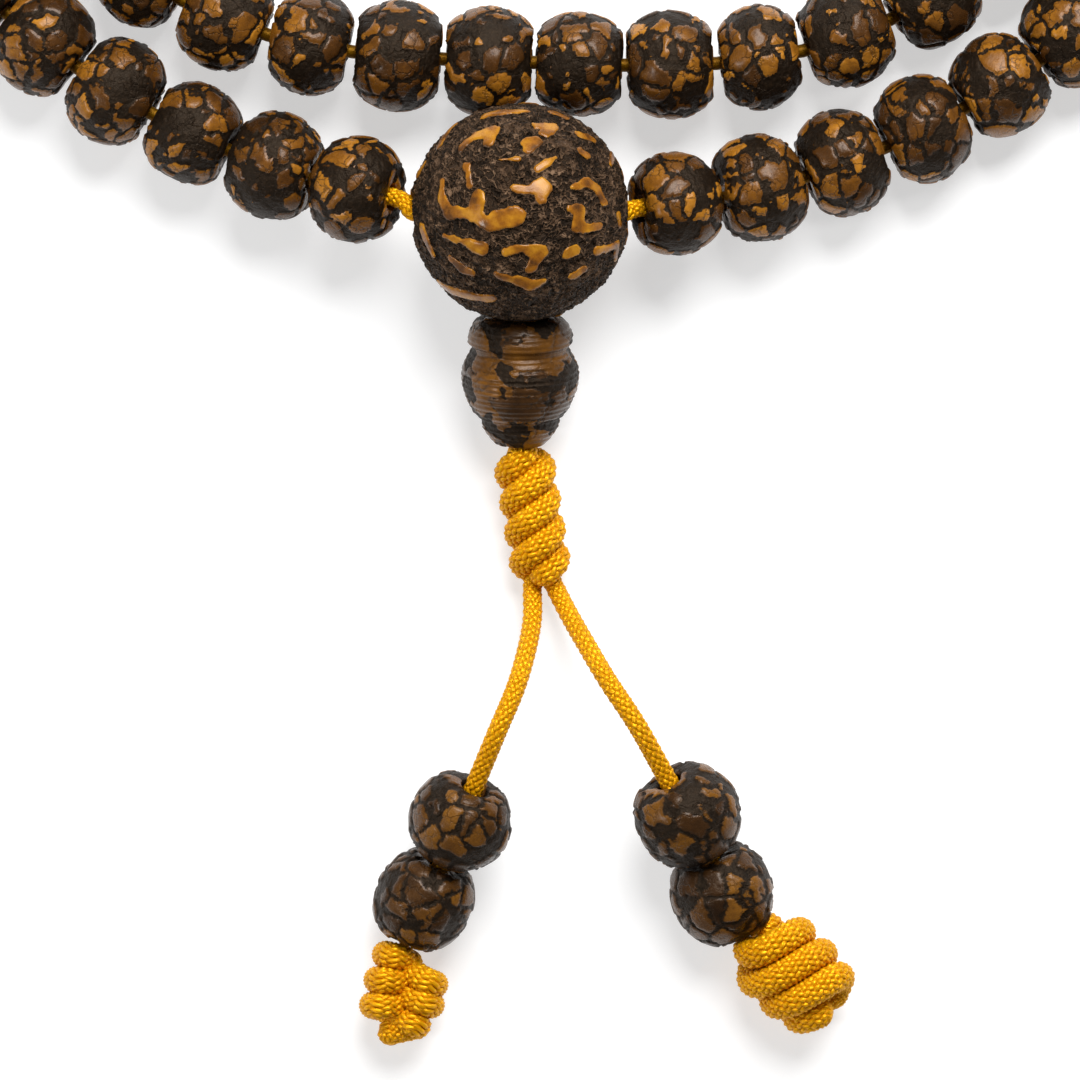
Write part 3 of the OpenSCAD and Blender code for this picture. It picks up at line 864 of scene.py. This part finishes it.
# raised islands, each a chain of (right, up, half width) seen from above
islands = [
    [(-7.1, 2.4, 0.3), (-7.1, 0.8, 0.5), (-6.4, -0.6, 0.6), (-5.1, -0.6, 0.5), (-3.9, -0.9, 0.6), (-2.9, -1.7, 0.5),
     (-1.9, -1.3, 0.85), (-0.3, -1.0, 0.8)],
    [(-3.8, 0.7, 0.6), (-4.0, -0.6, 0.6)],
    [(-5.3, 5.4, 0.3), (-4.2, 6.4, 0.4), (-2.6, 6.8, 0.8), (-2.8, 5.8, 0.5)],
    [(-6.0, 7.9, 0.3), (-7.4, 5.9, 0.5)],
    [(-3.1, 8.4, 0.3), (-1.2, 8.8, 0.4), (0.6, 8.9, 0.3)],
    [(1.6, 7.4, 0.5), (2.9, 7.3, 0.6), (2.2, 6.7, 0.5)],
    [(0.6, 5.8, 0.5), (1.4, 5.9, 0.5), (0.8, 5.2, 0.5)],
    [(5.6, 5.1, 0.4), (6.1, 4.8, 0.45)],
    [(5.5, 6.8, 0.4), (6.8, 6.4, 0.4)],
    [(8.4, 5.2, 0.35), (8.3, 4.1, 0.3)],
    [(-4.8, 3.6, 0.4), (-4.7, 2.7, 0.2), (-4.6, 1.9, 0.35)],
    [(-1.9, 4.1, 0.12), (-0.1, 4.3, 0.22)],
    [(-0.5, 1.5, 0.3), (1.0, 1.4, 0.5), (2.0, 1.7, 0.8), (1.9, 0.6, 0.5)],
    [(1.6, 3.3, 0.35), (3.2, 4.4, 0.2)],
    [(4.8, 1.7, 0.25), (6.3, 2.2, 0.5), (7.1, 1.6, 0.45), (7.6, 0.6, 0.45)],
    [(4.5, -0.3, 0.3), (5.4, -0.5, 0.7), (5.3, -1.7, 0.7), (6.3, -1.9, 0.4), (7.3, -1.7, 0.45)],
    [(-6.9, -2.6, 0.25), (-5.3, -3.1, 0.25), (-4.1, -3.6, 0.6), (-3.4, -3.8, 0.5)],
    [(-1.2, -4.2, 0.25), (0.2, -3.9, 0.5), (1.8, -4.2, 0.7), (1.1, -5.6, 0.4)],
    [(4.4, -4.3, 0.5), (5.1, -3.9, 0.5)],
    [(-8.9, -1.7, 0.4), (-8.4, -3.1, 0.5), (-7.9, -4.2, 0.2)],
    [(-6.3, -4.6, 0.3), (-5.2, -5.6, 0.45), (-4.4, -5.9, 0.4)],
    [(-2.1, -6.1, 0.25), (-0.6, -6.6, 0.4), (0.9, -7.0, 0.5), (2.2, -6.7, 0.3)],
    [(-7.4, -6.6, 0.4), (-5.3, -7.6, 0.5), (-2.6, -8.2, 0.55)],
    [(9.0, -0.5, 0.3), (9.1, -1.4, 0.35)],
    [(7.0, -3.9, 0.35), (8.8, -3.2, 0.4), (8.7, -4.4, 0.25)],
    [(4.8, -6.2, 0.4), (5.7, -5.6, 0.3)],
    [(-9.3, 3.4, 0.4), (-8.7, 4.4, 0.3)],
    [(2.9, 8.9, 0.3), (4.1, 8.4, 0.3)],
]


def islandChains():     # the islands on the sphere, and more of them where none is listed
    chains = []
    for chain in islands:
        chains.append([(np.array([x, y, math.sqrt(max(guru["r"] ** 2 - x * x - y * y, 1.0))]), r)
                       for x, y, r in chain])
    draw = np.random.default_rng(guru["drawSeed"])
    for _ in range(guru["hidden"]):
        way = unit(draw.normal(size=3))
        if way[2] > 0.1:
            way[2] *= -1
        turn = unit(np.cross(way, draw.normal(size=3)))
        chain = []
        for step in range(draw.integers(2, 5)):
            chain.append((way * guru["r"], float(draw.uniform(*guru["widths"]))))
            way = unit(way + (turn + 0.7 * unit(draw.normal(size=3))) * guru["chainStep"])
            way[2] = min(way[2], -0.05)
        chains.append(chain)
    return chains


def islandHeight(points):
    best = np.full(len(points), 9.0)
    for chain in islandChains():
        for (a, ra), (b, rb) in zip(chain, chain[1:]):
            share = np.clip((points - a) @ (b - a) / ((b - a) @ (b - a)), 0, 1)
            near = np.linalg.norm(points - a - np.outer(share, b - a), axis=1) - (ra + (rb - ra) * share)
            best = np.minimum(best, near)
    uneven = np.array([noise.noise(Vector(p * 0.8)) + 0.5 * noise.noise(Vector(p * 2.1)) for p in points])
    best -= guru["wider"] + guru["uneven"] * uneven
    u = np.clip((guru["edge"] / 2 - best) / guru["edge"], 0, 1)
    return u * u * (3 - 2 * u)


def cubeSphere(n):
    # even points and faces on a unit sphere, from the six faces of a cube
    steps = np.tan(np.linspace(-math.pi / 4, math.pi / 4, n + 1))
    index, points, faces = {}, [], []
    for axis in range(3):
        for sign in (-1, 1):
            grid = {}
            for i in range(n + 1):
                for j in range(n + 1):
                    p = [0.0, 0.0, 0.0]
                    p[axis], p[(axis + 1) % 3], p[(axis + 2) % 3] = sign, steps[i], steps[j]
                    key = tuple(round(x, 6) for x in p)
                    if key not in index:
                        index[key] = len(points)
                        points.append(p)
                    grid[i, j] = index[key]
            for i in range(n):
                for j in range(n):
                    face = [grid[i, j], grid[i + 1, j], grid[i + 1, j + 1], grid[i, j + 1]]
                    faces.append(face if sign > 0 else face[::-1])
    points = np.array(points)
    return points / np.linalg.norm(points, axis=1)[:, None], faces


def guruTree():
    net, given = newTree("fibreGround", {"Middle": "Vector", "Material": "Material"})
    centred = net.vectors("SUBTRACT", net.node("GeometryNodeInputPosition"), given["Middle"])
    whole = stored(net, given["Geometry"], "seedPlace", "FLOAT_VECTOR", net.vectors("SCALE", centred, scale=1 / mm))
    place = attributeIn(net, "seedPlace", "FLOAT_VECTOR")
    rough = net.noise(place, 1.3, 4.0, 0.7) - 0.5
    lump = (net.noise(place, 0.22, 1.0) - 0.55) * 0.7
    height = (rough * 1.1 * (1.05 - attributeIn(net, "relief")) + lump) * attributeIn(net, "loose") * mm
    moved = net.node("GeometryNodeSetPosition", None,
                     {"Geometry": whole, "Offset": net.vectors("SCALE", net.node("GeometryNodeInputNormal"),
                                                               scale=height)})
    return closeTree(net, moved, given["Material"])


def makeGuru():
    ways, faces = cubeSphere(guru["grid"])
    relief = islandHeight(ways * guru["r"])
    r = guru["r"] - guru["ground"] * (1 - relief)
    for way, hole in ((np.array([1.0, 0, 0]), guru["port"]), (np.array([-1.0, 0, 0]), guru["port"]),
                      (pendantAxis, guru["stem"])):
        off = np.sqrt(np.maximum(0, 1 - (ways @ way) ** 2)) * guru["r"]
        inside = (ways @ way > 0) & (off < hole)
        r = np.where(inside, guru["r"] - guru["holeDeep"], r)
        rim = np.clip((off - hole) / guru["rimWide"], 0, 1)
        r = np.where((ways @ way > 0) & ~inside, r - guru["rimDrop"] * (1 - rim) ** 2, r)
    off = np.linalg.norm(ways * guru["r"] - pendantAxis * guru["r"], axis=1)
    loose = np.clip((off - guru["seat"]) / guru["seatRun"], 0, 1)
    r = np.where(off < guru["stem"], r, seatR + (r - seatR) * loose)
    piece = meshObject("guruBead", guruMid + ways * r[:, None], faces=faces)
    smooth(piece)
    giveAttribute(piece, "relief", "FLOAT", relief)
    giveAttribute(piece, "loose", "FLOAT", loose)
    settled(piece, guruTree(), {"Middle": metres(guruMid), "Material": guruShell})
    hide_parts("guru_bead")
    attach(piece, "pendant")


makeGuru()
for blank in (fineBlank, plainBlank):
    bpy.data.objects.remove(blank)
print("guru bead ready")

for side, tail in tails.items():
    route = tail["route"]
    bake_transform(tail["piece"])

# floor and light
stageLook = {"floor": (0.55, 0.55, 0.55, 1), "glow": 0.56, "half": 3000, "under": 0.02}
half = stageLook["half"]
corners = [(-half, -half), (half, -half), (half, half), (-half, half)]
floor = meshObject("floor", [(x, y, -stageLook["under"]) for x, y in corners], faces=[(0, 1, 2, 3)])
floorMaterial, floorNet, floorShader = newMaterial("paleFloor")
feed(floorNet, floorShader, colour=stageLook["floor"], rough=0.9, specular=0.0)
floorShader.inputs["Emission Color"].default_value = (1, 1, 1, 1)
floorShader.inputs["Emission Strength"].default_value = stageLook["glow"]
floor.data.materials.append(floorMaterial)

lights = {
    "key": {"at": (0.09, 0.30, 0.46), "size": 0.38, "power": 5.4},
    "side": {"at": (-0.34, -0.16, 0.30), "size": 0.08, "power": 0.55},
    "sky": 0.17, "aimDown": 20,
}
for name in ("key", "side"):
    light = bpy.data.lights.new(name, "AREA")
    light.shape = "DISK"
    light.size = lights[name]["size"]
    light.energy = lights[name]["power"]
    lamp = bpy.data.objects.new(name, light)
    target = Vector((guruMid[0] * mm, (guruMid[1] - lights["aimDown"]) * mm, 0))
    lamp.location = lights[name]["at"]
    lamp.rotation_euler = (target - Vector(lights[name]["at"])).to_track_quat("-Z", "Y").to_euler()
    scene.collection.objects.link(lamp)
world = bpy.data.worlds.new("sky")
world.use_nodes = True
world.node_tree.nodes["Background"].inputs["Color"].default_value = (1, 1, 1, 1)
world.node_tree.nodes["Background"].inputs["Strength"].default_value = lights["sky"]
scene.world = world
scene.view_settings.view_transform = "Standard"

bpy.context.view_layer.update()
meshes = [o.data for o in bpy.data.objects if o.type == "MESH" and not o.name.startswith("node")]
print("triangles", sum(len(p.vertices) - 2 for mesh in meshes for p in mesh.polygons))
